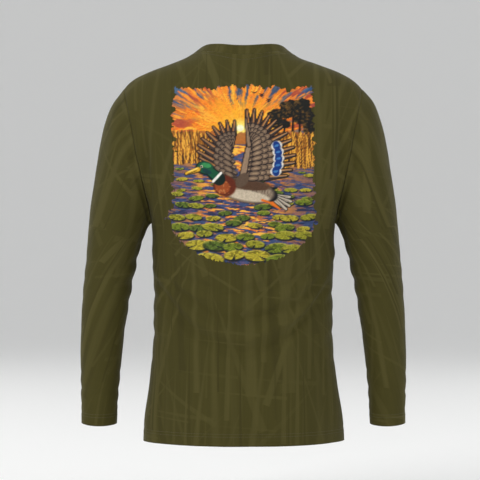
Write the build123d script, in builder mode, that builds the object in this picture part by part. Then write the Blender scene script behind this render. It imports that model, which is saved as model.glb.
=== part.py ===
"""Long-sleeve crew-neck shirt, men's medium, in the shape it takes on the body.

Frame: millimetres, +Z up, +Y out of the chest, +X to the wearer's right. The origin is the centre of
the neck at the level of the high shoulder points, where a shirt is measured from. The printed back
faces -Y. Heights in the tables below are measured up from the bottom hem, as on a size chart.

Every cloth piece is cut from the same pair of surfaces: the outer form of the shirt, and the same form
one cloth thickness further in. Tapes, seam allowances and labels lie on the forms inside that.
"""

import os
from math import atan2, cos, degrees, pi, radians, sin

from build123d import *

os.makedirs("parts", exist_ok=True)

# ---------------------------------------------------------------- driving dimensions
BODY_LENGTH = 723  # high shoulder point down to the bottom hem
CLOTH = 1.0  # knit cloth, one layer
THREAD = 0.28  # sewing thread standing on the cloth
CLEAR = 0.02  # between a thread or print and the cloth it lies on
HEM_TURN = 24  # depth of the turned-up bottom hem
CUFF_TURN = 22  # depth of the turned-up sleeve hems

# Torso form: height above the hem, half width, half depth.
TORSO = [
    (-20, 188, 128.5),
    (40, 184, 126),
    (103, 175, 122),
    (166, 169.5, 119),
    (265, 167, 117),
    (340, 170, 124),
    (390, 171, 129),
    (412, 176, 130.5),
    (435, 187, 131),
    (465, 203, 131),
    (500, 221, 129),
    (545, 241.5, 123),
    (585, 252, 114),
    (612, 251.5, 106),
    (634, 240, 98),
    (657, 223, 89),
    (674, 204, 82.5),
    (688, 177.5, 77),
    (702, 141, 71.5),
    (716, 105, 66),
    (742, 76, 56),
]

# Sleeve form: outer point, inner point (distance out, height), half depth, lean forward.
SLEEVE = [
    ((222.4, 657.0), (173.0, 405.0), 66, 0),
    ((243, 631), (175.5, 402), 66, 0),
    ((257.5, 594), (178, 398.5), 65.5, 0),
    ((268, 550), (180.5, 394), 65, 0),
    ((277, 500), (183, 387.5), 64, 0),
    ((284.5, 450), (186, 379), 62.5, 0),
    ((289.5, 402), (190, 366), 60, 0),
    ((294, 355), (197.5, 338), 56, 0.5),
    ((298.5, 302), (207, 296), 50.5, 2),
    ((303, 232), (219, 230), 44.5, 4),
    ((305.5, 155), (228, 153), 39.5, 6),
    ((305.5, 88), (234, 87), 35.8, 7.3),
]
CUFF_RADIUS = 33.4
CUFF_CENTRE = (271, 8.5, 32)  # distance out, forward, height: centre of the sleeve's open end
OVAL_POINTS = 16  # points each sleeve cross-section is drawn through
CUFF_LENGTH = 34  # straight round stretch that the sleeve ends in

# Armhole: the flat cut between body and sleeve, from the shoulder point to the underarm.
SHOULDER_POINT = (222, 657)
UNDERARM = (172, 405)
BELOW_UNDERARM = [(178, 385), (186, 345), (193, 290), (200, 200), (209, 90), (212, -60)]
PIVOT_RISE = 1.5  # swing axis above the cloth of the shoulder point

# Neck: the seam line seen from above is an ellipse.
NECK_HALF_WIDTH = 97
NECK_HALF_DEPTH = 80
NECK_FORWARD = 14
NECKBAND_WIDTH = 17
NECKBAND_THICK = 1.8
NECKBAND_INSET = 1.2  # middle of the strip, inside the neck seam line
NECKBAND_STATIONS = 12  # cross-sections from the back of the neck to the front

# Narrow goods and seams.
SEAM_HALF = 3.5  # half width of an overlocked seam allowance
SEAM_THICK = 1.0
TAPE_WIDTH = 11
TAPE_THICK = 0.5
PRINT_HALF_WIDTH = 140
PRINT_LOW, PRINT_HIGH = 330, 662
REACH = 900  # larger than the shirt, for cutting blocks

SIDES = {"left": -1, "right": 1}  # the wearer's left is -X


def level(height):
    """Z of a height above the bottom hem."""
    return height - BODY_LENGTH


def armhole_plane(side, outboard=0.0):
    """The armhole cut of one side, moved outboard, with its normal pointing away from the body."""
    dx = SHOULDER_POINT[0] - UNDERARM[0]
    dz = SHOULDER_POINT[1] - UNDERARM[1]
    tilt = atan2(dx, dz)
    normal = Vector(side * cos(tilt), 0, -sin(tilt))
    origin = Vector(side * SHOULDER_POINT[0], 0, level(SHOULDER_POINT[1])) + normal * outboard
    return Plane(origin=origin, x_dir=(0, 1, 0), z_dir=normal)


def sleeve_centre(side, station):
    """Middle of one sleeve station."""
    outer, inner, half_depth, forward = station
    return Vector(side * (outer[0] + inner[0]) / 2, forward, level((outer[1] + inner[1]) / 2))


def cuff_centre(side):
    """Middle of the open end of a sleeve."""
    return Vector(side * CUFF_CENTRE[0], CUFF_CENTRE[1], level(CUFF_CENTRE[2]))


def arm_direction(side):
    """Unit vector down the sleeve's last stretch, towards the open cuff."""
    return (cuff_centre(side) - sleeve_centre(side, SLEEVE[-1])).normalized()


def cuff_plane(side, up=0.0):
    """Plane across the open end of a sleeve, moved up the sleeve, with its normal out of the cuff."""
    down = arm_direction(side)
    return Plane(origin=cuff_centre(side) - down * up, x_dir=(0, 1, 0), z_dir=down)


def torso_ovals(inset, stations):
    """Level cross-sections of the body, drawn in by an inset."""
    ovals = []
    for height, half_width, half_depth in stations:
        with BuildSketch(Plane.XY.offset(level(height))) as section:
            Ellipse(half_width - inset, half_depth - inset)
        ovals.append(section.sketch)
    return ovals


def torso_layer(outer_inset, inner_inset, stations):
    """One layer of the body as a hollow tube, ring by ring from section to section."""
    outside = torso_ovals(outer_inset, stations)
    inside = torso_ovals(inner_inset, stations)
    with BuildPart() as layer:
        for index in range(len(outside) - 1):
            ring = loft(outside[index:index + 2], mode=Mode.PRIVATE)
            ring -= loft(inside[index:index + 2], mode=Mode.PRIVATE)
            add(ring)
    return layer.part


def oval(plane, half_x, half_y):
    """Closed oval on a plane, always starting on the plane's own x axis so that lofts don't twist."""
    turns = [2 * pi * index / OVAL_POINTS for index in range(OVAL_POINTS)]
    with BuildSketch(plane) as shape:
        with BuildLine():
            Spline([(half_x * cos(turn), half_y * sin(turn)) for turn in turns], periodic=True)
        make_face()
    return shape.sketch


def sleeve_ovals(side, inset):
    """Cross-sections of one sleeve from the armhole down to where the straight cuff begins."""
    ovals = []
    for station in SLEEVE:
        outer, inner, half_depth, forward = station
        across = Vector(side * (outer[0] - inner[0]), 0, outer[1] - inner[1])
        down = Vector(0, side, 0).cross(across)
        plane = Plane(origin=sleeve_centre(side, station), x_dir=(0, 1, 0), z_dir=down)
        ovals.append(oval(plane, half_depth - inset, across.length / 2 - inset))
    with BuildSketch(cuff_plane(side, CUFF_LENGTH)) as cuff:
        Circle(CUFF_RADIUS - inset)
    return [*ovals, cuff.sketch]


def sleeve_tube(side, outer_inset, inner_inset):
    """One layer of a sleeve: rings from section to section, then the straight cuff."""
    outside = sleeve_ovals(side, outer_inset)
    inside = sleeve_ovals(side, inner_inset)
    with BuildPart() as tube:
        for index in range(len(outside) - 1):
            ring = loft(outside[index:index + 2], mode=Mode.PRIVATE)
            ring -= loft(inside[index:index + 2], mode=Mode.PRIVATE)
            add(ring)
        with BuildSketch(cuff_plane(side, CUFF_LENGTH)):
            Circle(CUFF_RADIUS - outer_inset)
            Circle(CUFF_RADIUS - inner_inset, mode=Mode.SUBTRACT)
        extrude(amount=CUFF_LENGTH)
    return tube.part


def block(low, high):
    """An axis-aligned cutting block between two corners, in X, Y and height above the hem."""
    size = [high[i] - low[i] for i in range(3)]
    middle = [(high[i] + low[i]) / 2 for i in range(3)]
    return Pos(middle[0], middle[1], level(middle[2])) * Box(*size, mode=Mode.PRIVATE)


def beyond(plane, depth=REACH):
    """Everything on the far side of a plane, as far as a cutting block needs to go."""
    with BuildPart() as far:
        with BuildSketch(plane):
            Rectangle(REACH * 2, REACH * 2)
        extrude(amount=depth)
    return far.part


def sleeve_zone(side):
    """Everything outboard of the armhole and of the gap between body and arm."""
    slope = (SHOULDER_POINT[0] - UNDERARM[0]) / (SHOULDER_POINT[1] - UNDERARM[1])
    top = (SHOULDER_POINT[0] + slope * (800 - SHOULDER_POINT[1]), 800)
    line = [top, UNDERARM, *BELOW_UNDERARM, (REACH, -60), (REACH, 800)]
    with BuildPart() as zone:
        with BuildSketch(Plane.XZ.offset(-REACH / 2)):
            with BuildLine():
                Polyline([(side * out, level(height)) for out, height in line], close=True)
            make_face()
        extrude(amount=REACH)
    return zone.part


def neck_cylinder(grow=0.0):
    """Upright elliptical cylinder over the neck, grown from the neck seam line."""
    with BuildPart() as cylinder:
        with BuildSketch(Plane.XY.offset(level(560))):
            with Locations((0, NECK_FORWARD)):
                Ellipse(NECK_HALF_WIDTH + grow, NECK_HALF_DEPTH + grow)
        extrude(amount=REACH)
    return cylinder.part


def finish(name, shape):
    """Labels a finished piece and writes it to its own file."""
    shape.label = name
    export_step(shape, f"parts/{name}.step")
    print(name, len(shape.solids()), "solids", round(shape.volume), "mm3")


# ---------------------------------------------------------------- layers of the body
UPPER = [station for station in TORSO if station[0] >= 380]
PRINTED = [station for station in TORSO if 265 <= station[0] <= 702]
OUTER = loft(torso_ovals(0, UPPER), ruled=True)
CLOTH_LAYER = torso_layer(0, CLOTH, TORSO)
TURN_UP = torso_layer(CLOTH / 2, 2 * CLOTH, TORSO[:2])
SEAM_LAYER = torso_layer(CLOTH + 0.1, CLOTH + 0.1 + SEAM_THICK, TORSO)
TAPE_LAYER = torso_layer(CLOTH + 0.1, CLOTH + 0.1 + TAPE_THICK, UPPER)
LABEL_LAYER = torso_layer(CLOTH + 1.4, CLOTH + 1.9, TORSO[2:5])
HEM_THREAD = torso_layer(-CLEAR - THREAD, -CLEAR, TORSO[:2])
UPPER_THREAD = torso_layer(-CLEAR - THREAD, -CLEAR, UPPER)
INK_LAYER = torso_layer(-CLEAR - THREAD, -CLEAR, PRINTED)
print("layers made")

back_half = block((-REACH, -REACH, 0), (REACH, 0, 900))
front_half = block((-REACH, 0, 0), (REACH, REACH, 900))

# ---------------------------------------------------------------- body panels
# One layer of cloth all over, with the bottom edge turned up inside as a second layer.
with BuildPart() as body_cloth:
    add(CLOTH_LAYER)
    add(TURN_UP & block((-REACH, -REACH, -10), (REACH, REACH, HEM_TURN)))
    add(neck_cylinder(), mode=Mode.SUBTRACT)
    for side_sign in SIDES.values():
        add(sleeve_zone(side_sign), mode=Mode.SUBTRACT)

with BuildPart() as back_panel:
    add(body_cloth.part)
    add(back_half, mode=Mode.INTERSECT)
finish("back_panel", back_panel.part)

with BuildPart() as front_panel:
    add(body_cloth.part)
    add(front_half, mode=Mode.INTERSECT)
finish("front_panel", front_panel.part)


# ---------------------------------------------------------------- sleeves
# Set-in sleeves: the cap carries the shoulder on past the armhole and turns down into the arm.
for side_name, side_sign in SIDES.items():
    with BuildPart() as sleeve:
        add(sleeve_tube(side_sign, 0, CLOTH))
        with BuildSketch(cuff_plane(side_sign, CUFF_TURN)):
            Circle(CUFF_RADIUS - CLOTH / 2)
            Circle(CUFF_RADIUS - 2 * CLOTH, mode=Mode.SUBTRACT)
        extrude(amount=CUFF_TURN)
    finish(f"{side_name}_sleeve", sleeve.part)

# ---------------------------------------------------------------- neckband
# Folded strip of the same cloth, standing up and inwards from the neck seam.
def neckband_station(turn):
    """Cross-section of the neckband, at an angle round the neck: -90 is the back, 90 the front."""
    out = Vector(cos(radians(turn)), sin(radians(turn)), 0)
    x = (NECK_HALF_WIDTH - NECKBAND_INSET) * out.X
    y = (NECK_HALF_DEPTH - NECKBAND_INSET) * out.Y + NECK_FORWARD
    ray = Axis((x, y, level(500)), (0, 0, 1))
    top = max(hit[0].Z for hit in OUTER.find_intersection_points(ray))
    along = Vector(-NECK_HALF_WIDTH * out.Y, NECK_HALF_DEPTH * out.X, 0).normalized()
    inwards = Vector(0, 0, 1).cross(along)
    lean = radians(22 + 32 * cos(radians(turn)) ** 2)  # leans in more over the shoulders
    rise = inwards * sin(lean) + Vector(0, 0, cos(lean))
    middle = Vector(x, y, top - CLOTH) + rise * (NECKBAND_WIDTH / 2)
    return Plane(origin=middle, x_dir=rise, z_dir=along)


with BuildPart() as half_neckband:
    for index in range(NECKBAND_STATIONS + 1):
        with BuildSketch(neckband_station(-90 + 180 * index / NECKBAND_STATIONS)):
            Rectangle(NECKBAND_WIDTH, NECKBAND_THICK)
    loft()

with BuildPart() as neckband:
    add(half_neckband.part)
    mirror(about=Plane.YZ)
finish("neckband", neckband.part)

# ---------------------------------------------------------------- neck tape and care label
with BuildPart() as neck_tape:
    add(TAPE_LAYER)
    add(neck_cylinder(TAPE_WIDTH), mode=Mode.INTERSECT)
    add(neck_cylinder(0.5), mode=Mode.SUBTRACT)
    add(block((-REACH, -REACH, 600), (REACH, 4, 900)), mode=Mode.INTERSECT)
finish("neck_tape", neck_tape.part)

with BuildPart() as care_label:
    add(LABEL_LAYER)
    add(block((-REACH, 6, 120), (0, 40, 178)), mode=Mode.INTERSECT)
finish("care_label", care_label.part)

# ---------------------------------------------------------------- seams
# Overlocked allowances, pressed flat against the inside of the cloth.
for side_name, side_sign in SIDES.items():
    near, far = sorted((0, side_sign * REACH))

    with BuildPart() as side_seam:
        add(SEAM_LAYER)
        add(block((near, -2 * SEAM_HALF, HEM_TURN + 1), (far, 0, UNDERARM[1] - 12)), mode=Mode.INTERSECT)
    finish(f"{side_name}_side_seam", side_seam.part)

    with BuildPart() as shoulder_seam:
        add(SEAM_LAYER)
        add(block((near, -2 * SEAM_HALF, 600), (far, 0, 900)), mode=Mode.INTERSECT)
        add(neck_cylinder(14), mode=Mode.SUBTRACT)
        add(beyond(armhole_plane(side_sign, -9)), mode=Mode.SUBTRACT)
    finish(f"{side_name}_shoulder_seam", shoulder_seam.part)

    with BuildPart() as armhole_seam:
        add(SEAM_LAYER)
        add(block((near, -REACH, UNDERARM[1]), (far, REACH, 900)), mode=Mode.INTERSECT)
        add(beyond(armhole_plane(side_sign, -1 - 2 * SEAM_HALF)), mode=Mode.INTERSECT)
        add(beyond(armhole_plane(side_sign, -1)), mode=Mode.SUBTRACT)
    finish(f"{side_name}_armhole_seam", armhole_seam.part)

    with BuildPart() as underarm_seam:
        add(sleeve_tube(side_sign, CLOTH + 0.1, CLOTH + 0.1 + SEAM_THICK))
        near, far = sorted((0, side_sign * 262))
        add(block((near, 0, 0), (far, 2 * SEAM_HALF, 375)), mode=Mode.INTERSECT)
        add(beyond(cuff_plane(side_sign, CUFF_TURN + 2)), mode=Mode.SUBTRACT)
    finish(f"{side_name}_underarm_seam", underarm_seam.part)

# ---------------------------------------------------------------- stitching
# Coverstitch: two rows of needle thread outside, at the top of each turned-up hem.
ROW_GAP = 5.0
ROW_WIDTH = 0.8


def row_heights(turn):
    """Distances up from an edge of the two needle rows of its hem."""
    return (turn - 1.5 - ROW_GAP, turn - 1.5)


with BuildPart() as hem_stitching:
    for height in row_heights(HEM_TURN):
        row = block((-REACH, -REACH, height - ROW_WIDTH / 2), (REACH, REACH, height + ROW_WIDTH / 2))
        add(HEM_THREAD & row)
finish("hem_stitching", hem_stitching.part)

for side_name, side_sign in SIDES.items():
    with BuildPart() as cuff_stitching:
        for distance in row_heights(CUFF_TURN):
            with BuildSketch(cuff_plane(side_sign, distance)):
                Circle(CUFF_RADIUS + CLEAR + THREAD)
                Circle(CUFF_RADIUS + CLEAR, mode=Mode.SUBTRACT)
            extrude(amount=ROW_WIDTH)
    finish(f"{side_name}_cuff_stitching", cuff_stitching.part)

with BuildPart() as neck_stitching:
    add(UPPER_THREAD)
    add(neck_cylinder(3.5 + ROW_WIDTH), mode=Mode.INTERSECT)
    add(neck_cylinder(3.5), mode=Mode.SUBTRACT)
finish("neck_stitching", neck_stitching.part)

# ---------------------------------------------------------------- back print
# Thin film of ink on the back, with a loose brushed edge.
with BuildPart() as back_print:
    with BuildSketch(Plane.XZ):
        with BuildLine():
            middle = level((PRINT_LOW + PRINT_HIGH) / 2)
            half_height = (PRINT_HIGH - PRINT_LOW) / 2
            Spline(
                (-0.93 * PRINT_HALF_WIDTH, middle + 0.96 * half_height),
                (0, middle + 0.90 * half_height),
                (0.93 * PRINT_HALF_WIDTH, middle + 0.96 * half_height),
                (0.97 * PRINT_HALF_WIDTH, middle - 0.10 * half_height),
                (0.90 * PRINT_HALF_WIDTH, middle - 0.66 * half_height),
                (0.10 * PRINT_HALF_WIDTH, middle - 0.98 * half_height),
                (-0.86 * PRINT_HALF_WIDTH, middle - 0.70 * half_height),
                (-0.97 * PRINT_HALF_WIDTH, middle - 0.10 * half_height),
                periodic=True,
            )
        make_face()
    extrude(amount=REACH)
    add(INK_LAYER, mode=Mode.INTERSECT)
finish("back_print", back_print.part)

# ---------------------------------------------------------------- checks for the record
pivot_ray = Axis((SHOULDER_POINT[0], 0, level(500)), (0, 0, 1))
pivot_top = max(hit[0].Z for hit in OUTER.find_intersection_points(pivot_ray))
print("sleeve pivot x", SHOULDER_POINT[0], "z", round(pivot_top + PIVOT_RISE, 3))
for side_name, side_sign in SIDES.items():
    open_end = cuff_plane(side_sign)
    print(side_name, "cuff centre", open_end.origin, "axis", open_end.z_dir)
print("cuff lean from upright", round(degrees(atan2(abs(arm_direction(1).X), -arm_direction(1).Z)), 2))
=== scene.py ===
import functools
import math

import bmesh
import bpy
import numpy as np
from mathutils import Matrix, Vector, noise


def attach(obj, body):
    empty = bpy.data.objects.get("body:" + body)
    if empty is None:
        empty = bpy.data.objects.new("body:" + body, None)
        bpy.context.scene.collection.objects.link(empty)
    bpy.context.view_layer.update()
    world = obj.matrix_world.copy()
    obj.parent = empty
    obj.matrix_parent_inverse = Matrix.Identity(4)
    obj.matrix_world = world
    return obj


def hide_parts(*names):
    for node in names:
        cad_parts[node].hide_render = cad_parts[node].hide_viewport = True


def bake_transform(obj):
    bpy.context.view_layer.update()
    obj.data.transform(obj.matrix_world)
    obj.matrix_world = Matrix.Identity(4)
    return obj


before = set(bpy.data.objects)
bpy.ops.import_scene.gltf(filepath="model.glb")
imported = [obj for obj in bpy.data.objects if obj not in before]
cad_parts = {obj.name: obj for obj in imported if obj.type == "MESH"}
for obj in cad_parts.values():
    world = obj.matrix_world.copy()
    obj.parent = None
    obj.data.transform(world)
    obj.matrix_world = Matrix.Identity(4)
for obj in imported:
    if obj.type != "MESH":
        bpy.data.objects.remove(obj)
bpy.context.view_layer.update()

# ------------------------------------------------------------------ camera, floor and light
# A long lens level with the waist, square on to the printed back. The shirt hangs in a round pale
# paper cove, lit by broad soft lamps from both sides and above.
camera = bpy.data.objects.new("camera", bpy.data.cameras.new("camera"))
camera.data.lens = 140
camera.data.sensor_width = 36
camera.location = (-0.0062, -3.5, -0.349)
camera.rotation_euler = (math.radians(90), 0, 0)
bpy.context.scene.collection.objects.link(camera)
bpy.context.scene.camera = camera
bpy.context.scene.view_settings.view_transform = "Standard"

paper = bmesh.new()
bmesh.ops.create_circle(paper, cap_ends=True, radius=12, segments=96)
rim = list(paper.edges)
wall = bmesh.ops.extrude_edge_only(paper, edges=rim)
wall_top = [part for part in wall["geom"] if isinstance(part, bmesh.types.BMVert)]
bmesh.ops.translate(paper, verts=wall_top, vec=(0, 0, 10))
bmesh.ops.bevel(paper, geom=rim, offset=6, segments=32, profile=0.5, material=-1, affect="EDGES")
bmesh.ops.translate(paper, verts=paper.verts, vec=(0, 0, -0.86))
for face in paper.faces:
    face.smooth = True
sweep_mesh = bpy.data.meshes.new("paper_sweep")
paper.to_mesh(sweep_mesh)
paper.free()
sweep = bpy.data.objects.new("paper_sweep", sweep_mesh)
bpy.context.scene.collection.objects.link(sweep)


def new_finish(name, sockets):
    """A new material, its node tree, and its own Principled shader set to these values."""
    material = bpy.data.materials.new(name)
    material.use_nodes = True
    shader = material.node_tree.nodes["Principled BSDF"]
    for socket, value in sockets.items():
        shader.inputs[socket].default_value = value
    return material, material.node_tree, shader


sweep_mesh.materials.append(new_finish("pale_paper", {
    "Base Color": (0.78, 0.78, 0.77, 1), "Roughness": 0.9,
    "Emission Color": (1, 1, 1, 1), "Emission Strength": 0.2,
})[0])

for name, place, size, power in (
    ("lamp_left", (-2.4, -2.2, 1.7), 1.4, 54),
    ("lamp_right", (2.8, -2.2, 0.6), 2.4, 26),
    ("lamp_top", (0, 0.2, 2.6), 2.2, 34),
    ("lamp_front_left", (-2.8, 2.8, 1.2), 2.0, 26),
    ("lamp_front_right", (2.8, 2.6, 0.8), 2.4, 20),
):
    lamp = bpy.data.lights.new(name, "AREA")
    lamp.size = size
    lamp.energy = power
    lamp_object = bpy.data.objects.new(name, lamp)
    lamp_object.location = place
    aim = Vector((0, 0, -0.3)) - Vector(place)
    lamp_object.rotation_euler = aim.to_track_quat("-Z", "Y").to_euler()
    bpy.context.scene.collection.objects.link(lamp_object)
world = bpy.data.worlds.new("soft_room")
world.use_nodes = True
world.node_tree.nodes["Background"].inputs["Color"].default_value = (0.9, 0.92, 0.95, 1)
world.node_tree.nodes["Background"].inputs["Strength"].default_value = 0.3
bpy.context.scene.world = world

# ------------------------------------------------------------------ back and front panels
# Two pieces of light jersey, sewn together down the sides and over the shoulders. The bottom edge
# is turned up inside, and the cloth hangs in shallow swags at the waist and creases at the armpits.
BODY_LENGTH = 723
# the body's form, in millimetres: height over the hem, half its width, half its depth
BODY = (
    (-20, 188, 128.5), (40, 184, 126), (103, 175, 122), (166, 169.5, 119), (265, 167, 117),
    (340, 170, 124), (390, 171, 129), (412, 176, 130.5), (435, 187, 131), (465, 203, 131),
    (500, 221, 129), (545, 241.5, 123), (585, 252, 114), (612, 251.5, 106), (634, 240, 98),
    (657, 223, 89), (674, 204, 82.5), (688, 177.5, 77), (702, 141, 71.5), (716, 105, 66),
    (742, 76, 56),
)
FORM_TOP = 742
# half the neck opening's width and depth, and how far forward of the middle it sits
NECK_WIDE, NECK_DEEP, NECK_FORWARD = 97, 80, 14
# the two ends of the armhole: across from the middle, and over the hem
SHOULDER_POINT = (222, 657)
UNDERARM = (172, 405)
HEM_TURN = 24
JERSEY_THICK = 0.9
# lift of a second layer that lies inside the jersey, under its outer face
INNER_LAYER = -1.15


@functools.lru_cache(maxsize=None)
def eased_table(rows, at):
    """Values of a table at a place on its first column, curving smoothly from row to row."""
    at = min(max(at, rows[0][0]), rows[-1][0])
    i = max(k for k in range(len(rows) - 1) if rows[k][0] <= at)
    step = rows[i + 1][0] - rows[i][0]
    t = (at - rows[i][0]) / step
    values = []
    for c in range(1, len(rows[0])):
        slopes = []
        for k in (i, i + 1):
            if 0 < k < len(rows) - 1:
                before = (rows[k][c] - rows[k - 1][c]) / (rows[k][0] - rows[k - 1][0])
                after = (rows[k + 1][c] - rows[k][c]) / (rows[k + 1][0] - rows[k][0])
                slopes.append((before + after) / 2)
            else:
                slopes.append((rows[i + 1][c] - rows[i][c]) / step)
        a, b = rows[i][c], rows[i + 1][c]
        values.append(
            (2 * t**3 - 3 * t**2 + 1) * a
            + (t**3 - 2 * t**2 + t) * step * slopes[0]
            + (3 * t**2 - 2 * t**3) * b
            + (t**3 - t**2) * step * slopes[1]
        )
    return values


def bump(distance, width):
    """A soft ridge, 1 high on its line and gone about two widths away."""
    return math.exp(-((distance / width) ** 2))


def armhole_out(x, h):
    """How far outside the armhole cut a place on the body lies."""
    if h >= UNDERARM[1]:
        slope = (SHOULDER_POINT[0] - UNDERARM[0]) / (SHOULDER_POINT[1] - UNDERARM[1])
        return abs(x) - UNDERARM[0] - (h - UNDERARM[1]) * slope
    return abs(x) - UNDERARM[0] - (UNDERARM[1] - h) * 0.3


def neck_in(x, y, h):
    """Above zero inside the neck opening, in rough millimetres."""
    if h < 560:
        return -50
    return 80 * (1 - math.hypot(x / NECK_WIDE, (y - NECK_FORWARD) / NECK_DEEP))


def body_folds(x, y, h):
    """How far the body's cloth stands out from its smooth form, in millimetres."""
    turn = math.atan2(y, x)
    out = 1.5 * noise.noise(Vector((x / 90, y / 90, h / 130)))
    out += 0.55 * noise.noise(Vector((x / 34 + 7, y / 34, h / 55)))
    low = math.exp(-((h / 170) ** 2))
    out += low * (2.0 * math.sin(6 * turn + 0.9) + 1.2 * math.sin(11 * turn + 2.0 + h / 90))
    # swags across the small of the back, and shallower ones at the belly
    depth = 1.0 if y < 0 else 0.55
    spread = math.exp(-((x / 158) ** 6))
    for middle, rise, height, width in (
        (168, 96, -7.0, 13), (197, 92, 5.4, 13), (228, 70, -5.2, 11), (254, 62, 3.4, 11), (280, 42, -3.6, 9),
    ):
        line = middle + rise * (x / 140) ** 2 + 16 * noise.noise(Vector((x / 75, middle, 0)))
        out += depth * spread * height * bump(h - line, width)
    # creases that run down from behind the shoulder into the armpit
    at = 181 - (560 - h) * 0.05 + 4 * noise.noise(Vector((h / 40, 0, 3)))
    fade = bump(h - 512, 70)
    out += fade * (-8.5 * bump(abs(x) - at, 7.5) + 4.0 * bump(abs(x) - at + 18, 10))
    out += bump(h - 448, 44) * (-4.4 * bump(abs(x) - at + 27 - (h - 448) * 0.3, 8))
    out += bump(h - 600, 40) * (-2.4 * bump(abs(x) - at - 16 + (h - 600) * 0.2, 8))
    # small buckles at the side seams, where the waist is nipped in
    at_side = bump(abs(x) - 168, 30)
    for height, deep in (
        (268, -4.0), (246, 2.2), (196, -3.6), (216, 2.0), (330, -2.4), (352, 1.4), (150, -1.8),
    ):
        tilt = 0.35 * (y + 20) * (1 if x > 0 else 0.8)
        waver = 5 * noise.noise(Vector((0, y / 30, height)))
        out += 0.5 * at_side * deep * bump(h - height - tilt + waver, 9)
    # cloth drawn in along its seams
    out -= 0.9 * bump(y, 2.6) * (1 if abs(x) > 90 else 0)
    out -= 0.5 * bump(armhole_out(x, h), 4.0) * (1 if h > 400 else 0)
    out -= 0.8 * bump(neck_in(x, y, h), 3.0)
    out -= 0.7 * bump(h - HEM_TURN, 2.2)
    return out


def body_place(turn, h, lift):
    """A place on the body at a turn from the right side seam, lifted off the cloth, in metres."""
    half_wide, half_deep = eased_table(BODY, h)
    x, y = half_wide * math.cos(turn), half_deep * math.sin(turn)
    wide_up, deep_up = eased_table(BODY, h + 1)
    wide_down, deep_down = eased_table(BODY, h - 1)
    up = Vector(((wide_up - wide_down) * math.cos(turn), (deep_up - deep_down) * math.sin(turn), 2))
    along = Vector((-half_wide * math.sin(turn), half_deep * math.cos(turn), 0))
    outward = along.cross(up).normalized()
    stand = lift + body_folds(x, y, h)
    place = Vector((x, y, h - BODY_LENGTH)) + outward * stand
    return place / 1000


def even_steps(fine, stretches, cell):
    """Picks values from a fine list at even steps of the length that runs along it."""
    run = [0.0]
    for stretch in stretches:
        run.append(run[-1] + stretch)
    rows = max(1, round(run[-1] / cell))
    return [float(np.interp(run[-1] * k / rows, run, fine)) for k in range(rows + 1)]


def arc_heights(low, high, cell):
    """Heights at even steps measured over the curve of the shoulder, not straight up."""
    fine = [low + (high - low) * k / 400 for k in range(401)]
    wide = [eased_table(BODY, h)[0] for h in fine]
    return even_steps(
        fine, [math.hypot(wide[k + 1] - wide[k], fine[k + 1] - fine[k]) for k in range(400)], cell,
    )


class Cloth:
    """A flat grid of cloth laid over a form, which remembers each corner's turn and height.

    The span gives a corner's place across the cloth, in millimetres, for the cloth's pattern.
    """

    def __init__(self, turns, heights, place, span):
        self.mesh = bmesh.new()
        self.turn = self.mesh.verts.layers.float.new("turn")
        self.high = self.mesh.verts.layers.float.new("high")
        self.across = self.mesh.verts.layers.float.new("across")
        self.span = span
        self.place = place
        columns, rows = len(turns) - 1, len(heights) - 1
        bmesh.ops.create_grid(self.mesh, x_segments=columns, y_segments=rows, size=0.5)
        for v in self.mesh.verts:
            v[self.turn] = turns[round((v.co.x + 0.5) * columns)]
            v[self.high] = heights[round((v.co.y + 0.5) * rows)]

    def cut(self, beyond):
        """Trims the cloth where beyond(turn, height) is above zero."""
        side = {v: beyond(v[self.turn], v[self.high]) for v in self.mesh.verts}
        line = []
        for edge in list(self.mesh.edges):
            a, b = edge.verts
            if side[a] * side[b] < 0:
                share = side[a] / (side[a] - side[b])
                turn = a[self.turn] + (b[self.turn] - a[self.turn]) * share
                high = a[self.high] + (b[self.high] - a[self.high]) * share
                fresh = bmesh.utils.edge_split(edge, a, share)[1]
                fresh[self.turn], fresh[self.high] = turn, high
                side[fresh] = 0.0
                line.append(fresh)
        bmesh.ops.connect_verts(self.mesh, verts=line)
        gone = [f for f in self.mesh.faces if sum(side[v] for v in f.verts) > 0]
        bmesh.ops.delete(self.mesh, geom=gone, context="FACES")

    def lay(self):
        """Moves every corner to its place on the form."""
        for v in self.mesh.verts:
            v.co = self.place(v[self.turn], v[self.high])
            v[self.across] = self.span(v[self.turn], v[self.high])
        return self.mesh


def body_span(turn, h, centre):
    """The way round the body from the centre of the back or front, in millimetres.

    Over the shoulders the cloth's grain runs straight back, so there it is the distance across.
    """
    half_wide, half_deep = eased_table(BODY, h)
    straight = min(1, max(0, (h - 530) / 110))
    across = -half_wide * math.cos(turn) * math.copysign(1, centre)
    part = (turn - centre) / 8
    middles = [centre + math.pi / 2 + part * (k + 0.5) for k in range(8)]
    way = part * sum(math.hypot(half_wide * math.cos(a), half_deep * math.sin(a)) for a in middles)
    return way * (1 - straight) + across * straight


def body_cloth(first, last, low, high, lift, cell):
    """Cloth over part of the body: turns in degrees from the right side seam, heights over the hem."""
    first, last = sorted((first, last))
    columns = max(2, round(math.radians(abs(last - first)) * 150 / cell))
    turns = [math.radians(first + (last - first) * k / columns) for k in range(columns + 1)]
    heights = arc_heights(low, high, cell)
    centre = math.copysign(math.pi / 2, first + last)
    return Cloth(
        turns, heights, lambda turn, h: body_place(turn, h, lift),
        lambda turn, h: body_span(turn, h, centre) + 900 * (centre > 0),
    )


def flat_place(turn, h):
    """The same place on the smooth form, in millimetres, for deciding where to cut."""
    half_wide, half_deep = eased_table(BODY, h)
    return half_wide * math.cos(turn), half_deep * math.sin(turn), h


def past_armhole(turn, h):
    """Above zero outside the armhole cut, by turn and height."""
    return armhole_out(flat_place(turn, h)[0], h)


def past_neck(turn, h):
    """Above zero inside the neck opening, by turn and height."""
    return neck_in(*flat_place(turn, h))


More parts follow.
